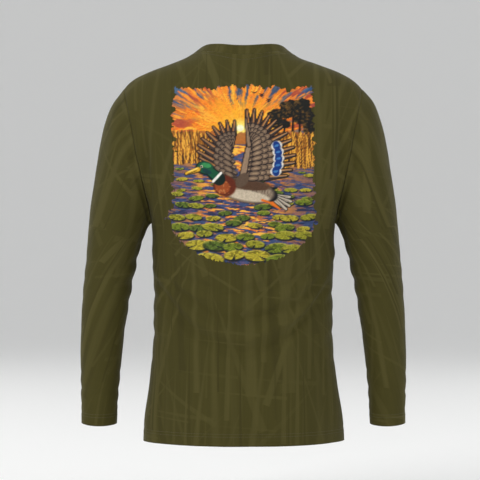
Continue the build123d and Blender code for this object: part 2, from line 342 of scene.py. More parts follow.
def make_piece(name, mesh_data, material, thick=0.0, also=None):
    """Turns a bmesh into a finished object, with each corner's place on the cloth stored as rest."""
    if also is not None:
        spare = bpy.data.meshes.new("spare")
        also.to_mesh(spare)
        mesh_data.from_mesh(spare)
        bpy.data.meshes.remove(spare)
        also.free()
    for face in mesh_data.faces:
        face.smooth = True
    data = bpy.data.meshes.new(name)
    mesh_data.to_mesh(data)
    mesh_data.free()
    piece = bpy.data.objects.new(name, data)
    bpy.context.scene.collection.objects.link(piece)
    if thick:
        shell = piece.modifiers.new("cloth_thickness", "SOLIDIFY")
        shell.thickness = thick / 1000
        shell.offset = -1
        bpy.context.view_layer.update()
        solid = bpy.data.meshes.new_from_object(
            piece.evaluated_get(bpy.context.evaluated_depsgraph_get())
        )
        piece.modifiers.clear()
        piece.data = solid
        bpy.data.meshes.remove(data)
        solid.name = name
        data = solid
    places = np.empty(len(data.vertices) * 3, np.float32)
    data.vertices.foreach_get("co", places)
    if "across" in data.attributes:
        spans = np.empty(len(data.vertices), np.float32)
        data.attributes["across"].data.foreach_get("value", spans)
        places[0::3] = spans / 1000
        places[1::3] = 0
    rest = data.attributes.new("rest", "FLOAT_VECTOR", "POINT")
    rest.data.foreach_set("vector", places)
    data.materials.clear()
    data.materials.append(material)
    return piece


def stands_for(piece, node_name, body="torso"):
    """Lets a piece ride a body in the place of its CAD node."""
    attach(piece, body)
    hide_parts(node_name)


def node(tree, kind, sockets=(), **settings):
    """Adds a shader node, and sets its own options and then its input sockets."""
    fresh = tree.nodes.new(kind)
    for key, value in settings.items():
        setattr(fresh, key, value)
    for socket, value in dict(sockets).items():
        fresh.inputs[socket].default_value = value
    return fresh


def wire(tree, *runs):
    """Joins nodes: each run names a node and its output, then a node and its input."""
    for giver, output, taker, socket in runs:
        tree.links.new(giver.outputs[output], taker.inputs[socket])


# Knit: rows of small V-shaped loops, as a height for a Bump node.
knit = bpy.data.node_groups.new("jersey_knit", "ShaderNodeTree")
knit.interface.new_socket("Vector", in_out="INPUT", socket_type="NodeSocketVector")
knit.interface.new_socket("Height", in_out="OUTPUT", socket_type="NodeSocketFloat")
knit_in = knit.nodes.new("NodeGroupInput")
knit_out = knit.nodes.new("NodeGroupOutput")
wales = node(knit, "ShaderNodeTexWave", {"Scale": 330}, bands_direction="X", wave_profile="SIN")
courses = node(
    knit, "ShaderNodeTexWave", {"Scale": 420, "Distortion": 1.5}, bands_direction="Z", wave_profile="SAW",
)
slub = node(knit, "ShaderNodeTexNoise", {"Scale": 900, "Detail": 3})
loops = node(knit, "ShaderNodeMath", operation="MULTIPLY")
grain = node(knit, "ShaderNodeMath", {1: 0.5}, operation="MULTIPLY_ADD")
for wave in (wales, courses, slub):
    wire(knit, (knit_in, "Vector", wave, "Vector"))
wire(
    knit, (wales, "Fac", loops, 0), (courses, "Fac", loops, 1), (slub, "Fac", grain, 0),
    (loops, 0, grain, 2), (grain, 0, knit_out, "Height"),
)

# Reeds: long straight blades with tapered ends, side by side at one lean, as a mask.
reeds = bpy.data.node_groups.new("reed_blades", "ShaderNodeTree")
for socket in ("Lean", "Width", "Length", "Share"):
    reeds.interface.new_socket(socket, in_out="INPUT", socket_type="NodeSocketFloat")
reeds.interface.new_socket("Vector", in_out="INPUT", socket_type="NodeSocketVector")
reeds.interface.new_socket("Mask", in_out="OUTPUT", socket_type="NodeSocketFloat")
reed_in = reeds.nodes.new("NodeGroupInput")
reed_out = reeds.nodes.new("NodeGroupOutput")


def reed_maths(operation, first, second=None):
    """One sum in the reeds group; each value is a socket or a number."""
    sum_node = node(reeds, "ShaderNodeMath", operation=operation)
    for at, value in enumerate((first, second)):
        if isinstance(value, bpy.types.NodeSocket):
            reeds.links.new(value, sum_node.inputs[at])
        elif value is not None:
            sum_node.inputs[at].default_value = value
    return sum_node.outputs[0]


lean = node(reeds, "ShaderNodeVectorRotate", rotation_type="Y_AXIS")
axes = node(reeds, "ShaderNodeSeparateXYZ")
wire(
    reeds, (reed_in, "Vector", lean, "Vector"), (reed_in, "Lean", lean, "Angle"),
    (lean, "Vector", axes, "Vector"),
)
row_at = reed_maths("DIVIDE", axes.outputs["X"], reed_in.outputs["Width"])
row = reed_maths("FLOOR", row_at)
stagger = node(reeds, "ShaderNodeTexWhiteNoise", noise_dimensions="1D")
reeds.links.new(row, stagger.inputs["W"])
along_at = reed_maths(
    "ADD", reed_maths("DIVIDE", axes.outputs["Z"], reed_in.outputs["Length"]),
    reed_maths("MULTIPLY", stagger.outputs["Value"], 7),
)
blade = node(reeds, "ShaderNodeCombineXYZ")
reeds.links.new(row, blade.inputs["X"])
reeds.links.new(reed_maths("FLOOR", along_at), blade.inputs["Y"])
luck = node(reeds, "ShaderNodeTexWhiteNoise", noise_dimensions="2D")
wire(reeds, (blade, "Vector", luck, "Vector"))
lucks = node(reeds, "ShaderNodeSeparateColor")
wire(reeds, (luck, "Color", lucks, "Color"))
off_middle = reed_maths("ABSOLUTE", reed_maths("SUBTRACT", reed_maths("FRACT", row_at), 0.5))
from_foot = reed_maths("FRACT", along_at)
taper = reed_maths("MULTIPLY", reed_maths("SUBTRACT", 1, reed_maths("POWER", from_foot, 1.6)), 0.5)
fullness = reed_maths("ADD", reed_maths("MULTIPLY", lucks.outputs["Green"], 0.6), 0.4)
breadth = reed_maths("MULTIPLY", taper, fullness)
edge = node(reeds, "ShaderNodeMapRange", {"From Min": 0, "From Max": 0.16})
reeds.links.new(reed_maths("SUBTRACT", breadth, off_middle), edge.inputs["Value"])
picked = reed_maths("GREATER_THAN", lucks.outputs["Red"], reed_in.outputs["Share"])
strength = reed_maths("ADD", reed_maths("MULTIPLY", lucks.outputs["Blue"], 0.7), 0.3)
reeds.links.new(
    reed_maths("MULTIPLY", reed_maths("MULTIPLY", edge.outputs["Result"], picked), strength),
    reed_out.inputs["Mask"],
)


def jersey(name, base, light, dark):
    """Dark olive knit with faint reeds and fine upright streaks, a little lighter and darker."""
    material, tree, shader = new_finish(name, {
        "Roughness": 0.82, "Specular IOR Level": 0.18, "Sheen Weight": 0.04, "Sheen Roughness": 0.4,
    })
    rest = node(tree, "ShaderNodeAttribute", attribute_name="rest")
    under = None
    for at, (lean_angle, width, long, share, tone) in enumerate((
        (0.03, 0.034, 0.52, 0.55, light), (-0.13, 0.026, 0.44, 0.72, light),
        (0.09, 0.030, 0.36, 0.66, dark), (-0.34, 0.020, 0.34, 0.76, light),
        (0.36, 0.018, 0.30, 0.78, light), (-0.02, 0.013, 0.30, 0.74, light),
        (-0.80, 0.012, 0.20, 0.90, light), (1.48, 0.010, 0.16, 0.90, light),
        (1.02, 0.012, 0.20, 0.93, light), (0.01, 0.008, 0.26, 0.80, dark),
    )):
        sizes = {"Lean": lean_angle, "Width": width, "Length": long, "Share": share}
        blades = node(tree, "ShaderNodeGroup", sizes, node_tree=reeds)
        away = (1.31 * at + 3, 0, 1.43 * at + 5)
        shift = node(tree, "ShaderNodeVectorMath", {1: away}, operation="ADD")
        mix = node(tree, "ShaderNodeMix", {"A": (*base, 1), "B": (*tone, 1)}, data_type="RGBA")
        wire(
            tree, (rest, "Vector", shift, 0), (shift, "Vector", blades, "Vector"),
            (blades, "Mask", mix, "Factor"),
        )
        if under is not None:
            wire(tree, (under, "Result", mix, "A"))
        under = mix
    stretch = node(tree, "ShaderNodeVectorMath", {1: (150, 150, 6)}, operation="MULTIPLY")
    streaks = node(tree, "ShaderNodeTexNoise", {"Scale": 1, "Detail": 4, "Roughness": 0.65})
    band = node(
        tree, "ShaderNodeMapRange", {"From Min": 0.3, "From Max": 0.7, "To Min": 0.93, "To Max": 1.07},
    )
    tone_up = node(tree, "ShaderNodeVectorMath", operation="SCALE")
    loops_here = node(tree, "ShaderNodeGroup", node_tree=knit)
    raised = node(tree, "ShaderNodeBump", {"Strength": 0.35, "Distance": 0.0003})
    wire(
        tree, (rest, "Vector", stretch, 0), (stretch, "Vector", streaks, "Vector"),
        (streaks, "Fac", band, "Value"), (under, "Result", tone_up, "Vector"),
        (band, "Result", tone_up, "Scale"), (tone_up, "Vector", shader, "Base Color"),
        (rest, "Vector", loops_here, "Vector"), (loops_here, "Height", raised, "Height"),
        (raised, "Normal", shader, "Normal"),
    )
    return material


OLIVE = (0.0555, 0.0478, 0.0090)
OLIVE_LIGHT = (0.0760, 0.0655, 0.0165)
OLIVE_DARK = (0.0455, 0.0388, 0.0070)
jersey_cloth = jersey("olive_jersey", OLIVE, OLIVE_LIGHT, OLIVE_DARK)

for name, first, last, flat_area in (("back_panel", 0, -180, 0.315), ("front_panel", 180, 0, 0.305)):
    panel = body_cloth(first, last, 0, FORM_TOP, lift=0, cell=4.2)
    panel.cut(past_neck)
    panel.cut(past_armhole)
    turned_up = body_cloth(first, last, 0.6, HEM_TURN, lift=INNER_LAYER, cell=4.2)
    piece = make_piece(name + "_cloth", panel.lay(), jersey_cloth, JERSEY_THICK, also=turned_up.lay())
    stands_for(piece, name)


# ------------------------------------------------------------------ sleeves
# Set-in tubes of the same jersey, wide at the cap and narrow at the wrist, with the hem turned up
# inside. The cloth bunches a little inside the elbow and above the cuff.
# A station down the sleeve, then in millimetres: its outer line across and over the hem, its inner
# line across and over the hem, half its depth, and how far forward it sits.
SLEEVE = (
    (0, 222.4, 657.0, 173.0, 405.0, 66, 0), (1, 243, 631, 175.5, 402, 66, 0),
    (2, 257.5, 594, 178, 398.5, 65.5, 0), (3, 268, 550, 180.5, 394, 65, 0),
    (4, 277, 500, 183, 387.5, 64, 0), (5, 284.5, 450, 186, 379, 62.5, 0),
    (6, 289.5, 402, 190, 366, 60, 0), (7, 294, 355, 197.5, 338, 56, 0.5),
    (8, 298.5, 302, 207, 296, 50.5, 2), (9, 303, 232, 219, 230, 44.5, 4),
    (10, 305.5, 155, 228, 153, 39.5, 6), (11, 305.0, 92, 234, 91, 35.8, 7.3),
    (12, 304.4, 32.75, 237.6, 31.25, 33.4, 8.5),
)
LAST_STATION = 12
SIDES = (("left", -1), ("right", 1))
CUFF_TURN = 22
# stations over which the top of the sleeve leaves the body's cloth and takes its own form
SEAM_EASE = 0.5


def sleeve_folds(side, around, station, x, y, h):
    """How far a sleeve's cloth stands out from its smooth form, in millimetres."""
    shift = 3.7 if side > 0 else 0
    inner = 0.5 - 0.5 * math.cos(around)
    out = 1.3 * noise.noise(Vector((x / 42 + shift, y / 55, h / 95)))
    out += 0.5 * noise.noise(Vector((x / 18, y / 22 + shift, h / 38)))
    round_it = Vector((math.cos(around), math.sin(around), 0))
    wander = 7 * noise.noise(round_it + Vector((shift, 0, h / 60)))
    for height, deep, lean, share in (
        (338, -3.4, 16, 1), (318, 2.0, 13, 1), (300, -3.0, 9, 1), (281, 1.6, 4, 1),
        (262, -2.2, -4, 1), (242, 1.0, -8, 1), (206, -1.3, -12, 0.6), (372, -2.0, 20, 0.8),
    ):
        line = height + lean * math.sin(around) + wander * 0.5
        line += 9 * noise.noise(round_it * 0.8 + Vector((shift, 0, height)))
        out += (0.42 * share * inner**1.4 + 0.2) * deep * bump(h - line, 8.5)
    for height, deep in ((128, -1.0), (112, 0.7), (97, -1.2), (84, 0.7), (69, -1.0)):
        line = height + 7 * math.sin(around + shift)
        line += 10 * noise.noise(round_it + Vector((shift, 0, height)))
        out += 0.8 * deep * bump(h - line - wander * 0.4, 4.8)
    # long slack folds that fall from the underarm and from the cap
    fall = bump(h - 430, 85) * inner**2
    out += fall * (-3.0 * bump(y - 26 - (h - 430) * 0.1, 8) - 3.0 * bump(y + 26 + (h - 430) * 0.1, 8))
    cap = bump(station - 2.4, 1.6) * (1 - inner)
    out += cap * 1.2 * math.sin(5 * around + 1.2)
    out -= 0.5 * bump(station, 0.07)
    out -= 0.7 * bump(h - 32 - CUFF_TURN, 2.2)
    return out * min(1, 0.25 + station)


def sleeve_form(side, around, station):
    """A place on the smooth form of a sleeve, in millimetres, turning round from its outer line."""
    out_x, out_h, in_x, in_h, deep, forward = eased_table(SLEEVE, station)
    share = 0.5 + 0.5 * math.cos(around)
    x, h = in_x + (out_x - in_x) * share, in_h + (out_h - in_h) * share
    y = deep * math.sin(around)
    if station < 1.2:
        wide, thick = eased_table(BODY, h)
        on_body = thick * math.sqrt(max(0, 1 - (x / wide) ** 2))
        mixed = max(0, 1 - station / 1.2) ** 2
        y = (1 - mixed) * y + mixed * math.copysign(on_body, y if abs(y) > 1e-6 else 1)
    return Vector((side * x, y + forward, h))


def sleeve_place(side, around, station, lift):
    """A place on a sleeve, lifted off the cloth, in metres."""
    middle = sleeve_form(side, around, station)
    near, far = max(station - 0.05, 0), min(station + 0.05, LAST_STATION)
    ahead = sleeve_form(side, around, far) - sleeve_form(side, around, near)
    across = sleeve_form(side, around + 0.05, station) - sleeve_form(side, around - 0.05, station)
    outward = (across.cross(ahead) if side < 0 else ahead.cross(across)).normalized()
    stand = lift + sleeve_folds(side, around, station, *middle)
    droop = 5.0 * max(0, (station - 9) / 3) ** 2 * (0.5 - 0.5 * math.sin(around)) ** 2
    place = (middle + outward * stand - Vector((0, 0, BODY_LENGTH + droop))) / 1000
    if station < SEAM_EASE:
        wide, thick = eased_table(BODY, middle.z)
        on_body = body_place(math.atan2(middle.y / thick, middle.x / wide), middle.z, lift)
        place = place.lerp(on_body, (1 - station / SEAM_EASE) ** 2)
    return place


def even_stations(first, last, cell):
    """Stations at even steps down the middle of the sleeve."""
    fine = [first + (last - first) * k / 600 for k in range(601)]
    middle = [sleeve_form(1, 0, s) * 0.7 + sleeve_form(1, math.pi, s) * 0.3 for s in fine]
    return even_steps(fine, [(middle[k + 1] - middle[k]).length for k in range(600)], cell)


def sleeve_span(around, station):
    """The way round a sleeve from its outer line, in millimetres."""
    out_x, out_h, in_x, in_h, deep, _ = eased_table(SLEEVE, station)
    breadth = math.hypot(out_x - in_x, out_h - in_h) / 2 if station > 6 else deep
    return around * (breadth + deep) / 2


def sleeve_cloth(side, first, last, top, bottom, lift, cell):
    """Cloth over part of a sleeve: turns in degrees from its outer line, stations down its length."""
    columns = max(2, round(math.radians(last - first) * 62 / cell))
    turns = [math.radians(first + (last - first) * k / columns) for k in range(columns + 1)]
    stations = even_stations(top, bottom, cell)
    return Cloth(
        turns, stations, lambda turn, station: sleeve_place(side, turn, station, lift),
        lambda turn, station: 700 * side + sleeve_span(turn, station),
    )


def closed_tube(cloth):
    """Lays cloth that goes all the way round and sews the edges that meet."""
    tube = cloth.lay()
    bmesh.ops.remove_doubles(tube, verts=tube.verts, dist=0.00002)
    bmesh.ops.recalc_face_normals(tube, faces=tube.faces)
    return tube


def swing_sleeve(piece):
    """Bakes a piece's place into its mesh, leaving it joined to no body."""
    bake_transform(piece)


for side_name, side in SIDES:
    tube = closed_tube(sleeve_cloth(side, 180, 540, 0, LAST_STATION, lift=0, cell=4.0))
    turned_up = closed_tube(sleeve_cloth(side, 180, 540, 11.63, 11.99, lift=INNER_LAYER, cell=4.0))
    piece = make_piece(side_name + "_sleeve_cloth", tube, jersey_cloth, JERSEY_THICK, also=turned_up)
    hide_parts(side_name + "_sleeve")
    swing_sleeve(piece)


# ------------------------------------------------------------------ neckband
# A strip of the same jersey folded in half lengthways and sewn round the neck with no rib. It
# stands up at the back, leans in over the shoulders and lies flatter at the front.
BAND_WIDTH = 17
# how far the band's two raw edges reach down inside the neck seam
BAND_TUCK = 2.4


def shoulder_height(x, y):
    """Height of the smooth form above a place near the neck, in millimetres over the hem."""
    low, high = 560.0, FORM_TOP
    for _ in range(30):
        middle = (low + high) / 2
        wide, deep = eased_table(BODY, middle)
        if (x / wide) ** 2 + (y / deep) ** 2 > 1:
            high = middle
        else:
            low = middle
    return low


def around_neck(turn, grow, lift):
    """A place on the body's cloth beside the neck seam, in metres."""
    x = (NECK_WIDE + grow) * math.cos(turn)
    y = (NECK_DEEP + grow) * math.sin(turn) + NECK_FORWARD
    h = shoulder_height(x, y)
    wide, deep = eased_table(BODY, h)
    return body_place(math.atan2(y / deep, x / wide), h, lift)


def band_place(turn, around):
    """A place on the neckband: a turn round the neck, and a turn round the folded strip."""
    foot = around_neck(turn, -0.9, -1.1)
    along = Vector((-NECK_WIDE * math.sin(turn), NECK_DEEP * math.cos(turn), 0)).normalized()
    inward = Vector((0, 0, 1)).cross(along)
    lean = math.radians(22 + 32 * math.cos(turn) ** 2)
    rise = inward * math.sin(lean) + Vector((0, 0, math.cos(lean)))
    face = rise.cross(along)
    c, n = math.cos(around), math.sin(around)
    up = 0.5 * (BAND_WIDTH + BAND_TUCK) * (1 + math.copysign(abs(c) ** 0.35, c)) - BAND_TUCK
    out = 0.95 * math.copysign(abs(n) ** 0.55, n)
    out += 0.45 * math.sin(math.pi * up / BAND_WIDTH)
    out += 0.5 * noise.noise(Vector((3 * math.cos(turn), 3 * math.sin(turn), up / 16)))
    out += 0.18 * math.sin(46 * turn + 2.2 * math.sin(5 * turn)) * (1 - up / BAND_WIDTH)
    return foot + (rise * up + face * out) / 1000


band = closed_tube(Cloth(
    [2 * math.pi * k / 170 for k in range(171)],
    [2 * math.pi * k / 30 for k in range(31)],
    band_place,
    lambda turn, around: turn * (NECK_WIDE + NECK_DEEP) / 2,
))
neckband = make_piece("neckband_cloth", band, jersey_cloth)
stands_for(neckband, "neckband")

# ------------------------------------------------------------------ seams inside
# Overlocked edges pressed flat against the inside of the jersey, bound in thread. A flat woven tape
# covers the neck seam at the back.


def thread_finish(name, colour, wraps, depth):
    """Twisted polyester thread: soft shine, with fine slanting wraps."""
    material, tree, shader = new_finish(name, {"Roughness": 0.6, "Sheen Weight": 0.1})
    rest = node(tree, "ShaderNodeAttribute", attribute_name="rest")
    twist = node(
        tree, "ShaderNodeTexWave", {"Scale": wraps, "Distortion": 1.2}, bands_direction="DIAGONAL",
    )
    fibres = node(tree, "ShaderNodeTexNoise", {"Scale": 600})
    tones = {"A": (*[c * 0.72 for c in colour], 1), "B": (*[c * 1.22 for c in colour], 1)}
    shade = node(tree, "ShaderNodeMix", tones, data_type="RGBA")
    raised = node(tree, "ShaderNodeBump", {"Strength": 0.5, "Distance": depth})
    wire(
        tree, (rest, "Vector", twist, "Vector"), (rest, "Vector", fibres, "Vector"),
        (fibres, "Fac", shade, "Factor"), (shade, "Result", shader, "Base Color"),
        (twist, "Fac", raised, "Height"), (raised, "Normal", shader, "Normal"),
    )
    return material


overlock = thread_finish("overlock_thread", (0.052, 0.045, 0.016), 260, 0.0004)
needle = thread_finish("needle_thread", (0.062, 0.054, 0.019), 900, 0.0002)
tape_weave = thread_finish("tape_weave", (0.044, 0.038, 0.014), 420, 0.0003)


def inside_trim(name, cloth, material, thick):
    """Finishes a strip sewn to the inside of the body."""
    stands_for(make_piece(name + "_strip", cloth.lay(), material, thick), name)


for side_name, side in SIDES:
    seam = 0 if side > 0 else -180
    side_strip = body_cloth(seam, seam - side * 3.4, HEM_TURN + 2, 392, lift=INNER_LAYER, cell=3.5)
    inside_trim(side_name + "_side_seam", side_strip, overlock, 0.9)

    shoulder_strip = body_cloth(seam, seam - side * 24, 640, FORM_TOP, lift=INNER_LAYER, cell=3.2)
    shoulder_strip.cut(lambda turn, h: -7 - flat_place(turn, h)[1])
    shoulder_strip.cut(lambda turn, h: past_neck(turn, h) + 12)
    shoulder_strip.cut(lambda turn, h: past_armhole(turn, h) + 9)
    inside_trim(side_name + "_shoulder_seam", shoulder_strip, overlock, 0.8)

    hole_strip = body_cloth(seam - 80, seam + 80, 396, 700, lift=INNER_LAYER, cell=3.6)
    hole_strip.cut(lambda turn, h: past_armhole(turn, h) + 1)
    hole_strip.cut(lambda turn, h: -8 - past_armhole(turn, h))
    hole_strip.cut(lambda turn, h: 404 - h)
    inside_trim(side_name + "_armhole_seam", hole_strip, overlock, 0.9)

    under_mesh = sleeve_cloth(side, 171, 180, 5.6, 11.6, lift=INNER_LAYER, cell=3.5).lay()
    if side > 0:
        bmesh.ops.reverse_faces(under_mesh, faces=under_mesh.faces)
    under = make_piece(side_name + "_underarm_seam_strip", under_mesh, overlock, 0.7)
    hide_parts(side_name + "_underarm_seam")
    swing_sleeve(under)

tape = body_cloth(2, -182, 676, FORM_TOP, lift=-1.2, cell=3.0)
tape.cut(lambda turn, h: past_neck(turn, h) + 0.6)
tape.cut(lambda turn, h: -10.5 - past_neck(turn, h))
inside_trim("neck_tape", tape, tape_weave, 0.45)

# ------------------------------------------------------------------ care label
# A blank loop of white satin ribbon caught in the left side seam, lying against the cloth.
satin = thread_finish("satin_ribbon", (0.6, 0.59, 0.56), 1500, 0.0001)
ribbon = body_cloth(177, 160, 120, 178, lift=-2.7, cell=3.5)
inside_trim("care_label", ribbon, satin, 0.4)

# ------------------------------------------------------------------ stitching
# Two rows of needle thread hold each turned-up hem, and one row holds the neck seam down. Every
# stitch is a short bead of thread, bedded in the jersey.


# half a thread's width and height, in metres
THREAD_HALF = (0.00034, 0.00026)
bead_shape = bmesh.new()
bmesh.ops.create_uvsphere(bead_shape, u_segments=6, v_segments=5, radius=1)


def stitch_row(mesh_data, route):
    """Adds a stitch between each pair of places on a closed route, leaving a needle hole between."""
    bead = bpy.data.meshes.new("bead")
    for here, there in zip(route, route[1:] + route[:1]):
        along = there[0] - here[0]
        middle = (here[0] + there[0]) / 2
        x_axis = along.normalized()
        z_axis = (here[1] - here[1].dot(x_axis) * x_axis).normalized()
        turned = Matrix((x_axis, z_axis.cross(x_axis), z_axis)).transposed().to_4x4()
        turned.translation = middle
        bead_shape.to_mesh(bead)
        bead.transform(turned @ Matrix.Diagonal((along.length * 0.42, *THREAD_HALF, 1)))
        mesh_data.from_mesh(bead)
    bpy.data.meshes.remove(bead)


def stitches(name, rows, body):
    """One piece of stitching made of several rows."""
    mesh_data = bmesh.new()
    for row in rows:
        stitch_row(mesh_data, row)
    stands_for(make_piece(name + "_beads", mesh_data, needle), name, body)


def route_of(place, count):
    """Places on a closed route with the way the cloth faces there."""
    route = []
    for k in range(count):
        turn = 2 * math.pi * k / count
        low, high = place(turn, 0.12), place(turn, 1.12)
        route.append((low, (high - low).normalized()))
    return route


stitches(
    "hem_stitching",
    [route_of(lambda turn, lift, h=h: body_place(turn, h, lift), 330) for h in (17.5, 22.5)],
    "torso",
)
stitches("neck_stitching", [route_of(lambda turn, lift: around_neck(turn, 4, lift), 200)], "torso")
for side_name, side in SIDES:
    stitches(
        side_name + "_cuff_stitching",
        [
            route_of(lambda turn, lift, s=s: sleeve_place(side, turn, s, lift), 72)
            for s in (11.74, 11.656)
        ],
        "sleeve_" + side_name,
    )
bead_shape.free()

# ------------------------------------------------------------------ back print
# A film of soft ink on the back: a marsh at sunset with a duck flying over lily pads. It is laid
# on the cloth a hair's breadth proud, with a dry-brushed edge, and the knit shows through it.


def lattice(seed, x, y):
    """Smooth mottling from 0 to 1, one blotch to each unit."""
    table = np.random.RandomState(seed).rand(64, 64)
    column, row = np.floor(x).astype(int), np.floor(y).astype(int)
    across, up = x - column, y - row
    across, up = across * across * (3 - 2 * across), up * up * (3 - 2 * up)
    a, b = table[row % 64, column % 64], table[row % 64, (column + 1) % 64]
    c, d = table[(row + 1) % 64, column % 64], table[(row + 1) % 64, (column + 1) % 64]
    return (a + (b - a) * across) * (1 - up) + (c + (d - c) * across) * up


def mottle(seed, x, y):
    """Mottling with finer mottling in it."""
    coarse, medium = lattice(seed, x, y), lattice(seed + 1, x * 2, y * 2)
    return (coarse * 4 + medium * 2 + lattice(seed + 2, x * 4, y * 4)) / 7


def ease(value, low, high):
    """0 below low and 1 above high, with a soft step between."""
    t = np.clip((value - low) / (high - low), 0, 1)
    return t * t * (3 - 2 * t)


class Painting:
    """Ink laid over ink on the places of the print, in millimetres across and over the hem."""

    def __init__(self, x, h):
        self.x, self.h = x, h
        self.ink = np.zeros((len(x), 3))

    def lay(self, colour, mask):
        """Covers what the mask picks out; a colour is screen values from 0 to 255."""
        tone = np.asarray(colour, float) / 255
        self.ink += (tone - self.ink) * np.clip(mask, 0, 1)[:, None]

    def blob(self, x, h, wide, tall, lean=0.0, soft=0.12):
        """Mask of a leaning ellipse."""
        c, n = math.cos(lean), math.sin(lean)
        across, up = self.x - x, self.h - h
        reach = np.hypot((across * c + up * n) / wide, (-across * n + up * c) / tall)
        return 1 - ease(reach, 1 - soft, 1 + soft)

    def stroke(self, x1, h1, x2, h2, from_wide, to_wide, soft=0.7):
        """Mask of a straight stroke that narrows from one end to the other."""
        ax, ah = x2 - x1, h2 - h1
        share = np.clip(((self.x - x1) * ax + (self.h - h1) * ah) / (ax * ax + ah * ah), 0, 1)
        away = np.hypot(self.x - x1 - ax * share, self.h - h1 - ah * share)
        edge = from_wide + (to_wide - from_wide) * share
        return 1 - ease(away, edge - soft, edge + soft)

    def line(self, colour, *run, strength=1.0, **softness):
        """Lays one stroke."""
        self.lay(colour, self.stroke(*run, **softness) * strength)

    def spot(self, colour, *place, strength=1.0, **softness):
        """Lays one ellipse."""
        self.lay(colour, self.blob(*place, **softness) * strength)


# the sun's middle, across and over the hem, and the height where water meets the far bank
SUN = (-6, 577)
BANK = 547


def paint_sky(art):
    """Evening sky: bands of lit cloud fanning out from a low sun."""
    x, h = art.x, art.h
    away = np.hypot(x - SUN[0], (h - SUN[1]) * 1.15)
    fan = np.arctan2(h - SUN[1] + 8, x - SUN[0])
    art.lay((74, 92, 128), np.ones(len(x)))
    art.lay((234, 120, 36), 1 - ease(away, 90, 230))
    art.lay((253, 172, 44), 1 - ease(away, 20, 135))
    broad = mottle(11, fan * 9 + 40, away / 48 + 8)
    fine = mottle(21, fan * 24 + 40, away / 30 + 3)
    art.lay((52, 96, 140), ease(broad, 0.51, 0.60) * ease(away, 60, 130) * 0.85)
    art.lay((238, 104, 30), ease(fine, 0.50, 0.58) * ease(away, 30, 60) * 0.85)
    art.lay((255, 186, 62), ease(fine, 0.57, 0.65) * (1 - ease(away, 90, 180)) * 0.9)
    art.lay((150, 58, 60), ease(mottle(31, fan * 16 + 40, away / 36), 0.57, 0.66) * ease(away, 60, 110) * 0.7)
    art.lay((40, 74, 116), ease(mottle(41, fan * 15 + 40, away / 34), 0.55, 0.64) * ease(h, 604, 644) * 0.85)
    art.lay((250, 140, 50), ease(mottle(43, fan * 26 + 40, away / 22), 0.58, 0.66) * ease(h, 585, 620) * 0.8)
    art.lay((255, 226, 110), 1 - ease(away, 6, 26))
    art.lay((255, 250, 206), 1 - ease(away, 5, 8.5))


def paint_shore(art):
    """Hazy trees along the far bank, a stand of round-headed trees, and a skein of far-off birds."""
    x, h = art.x, art.h
    top = BANK + 9 + 12 * mottle(51, x / 13 + 30, x * 0) + 5 * mottle(61, x / 4 + 60, x * 0)
    art.lay((158, 88, 48), (1 - ease(h, top + 4, top + 6)) * 0.8)
    art.lay((84, 50, 40), (1 - ease(h, top - 4, top - 2)) * ease(np.abs(x - SUN[0]), 8, 50))
    chance = np.random.RandomState(3)
    for k in range(30):
        leaf_x = 58 + 72 * k / 29 + chance.uniform(-6, 6)
        crown = 22 + 50 * math.sin(math.pi * (k + 4) / 37) + 8 * math.sin(k * 1.1)
        leaf_h = BANK + crown + chance.uniform(-14, 8)
        wide = chance.uniform(9, 17)
        ragged = 0.75 + 0.55 * mottle(71 + k % 5, x / 4 + 40, h / 4)
        reach = np.hypot((x - leaf_x) / wide, (h - leaf_h) / (wide * 0.6))
        leaf = 1 - ease(reach, ragged - 0.12, ragged + 0.12)
        art.lay((30, 30, 26), leaf)
        lit = ease(mottle(81, x / 4, h / 3), 0.5, 0.64) * (1 - ease(x, leaf_x - wide, leaf_x + wide * 0.4))
        art.lay((120, 84, 38), leaf * lit * 0.85)
    for foot, rise, width in ((72, 36, 2.0), (88, 52, 2.8), (101, 58, 2.4), (117, 44, 2.2)):
        art.line((26, 22, 22), foot, BANK, foot + 3, BANK + rise, width, width * 0.6)
    for k in range(7):
        bird_x, bird_h = 20 + 13 * abs(k - 2), 642 - 6.5 * (k - 2) ** 2 * 0.5 - 3 * (k > 2)
        for wing in (-4.5, 4.5):
            art.line((34, 26, 32), bird_x, bird_h, bird_x + wing, bird_h + 2.6, 1.1, 0.4, soft=0.5)


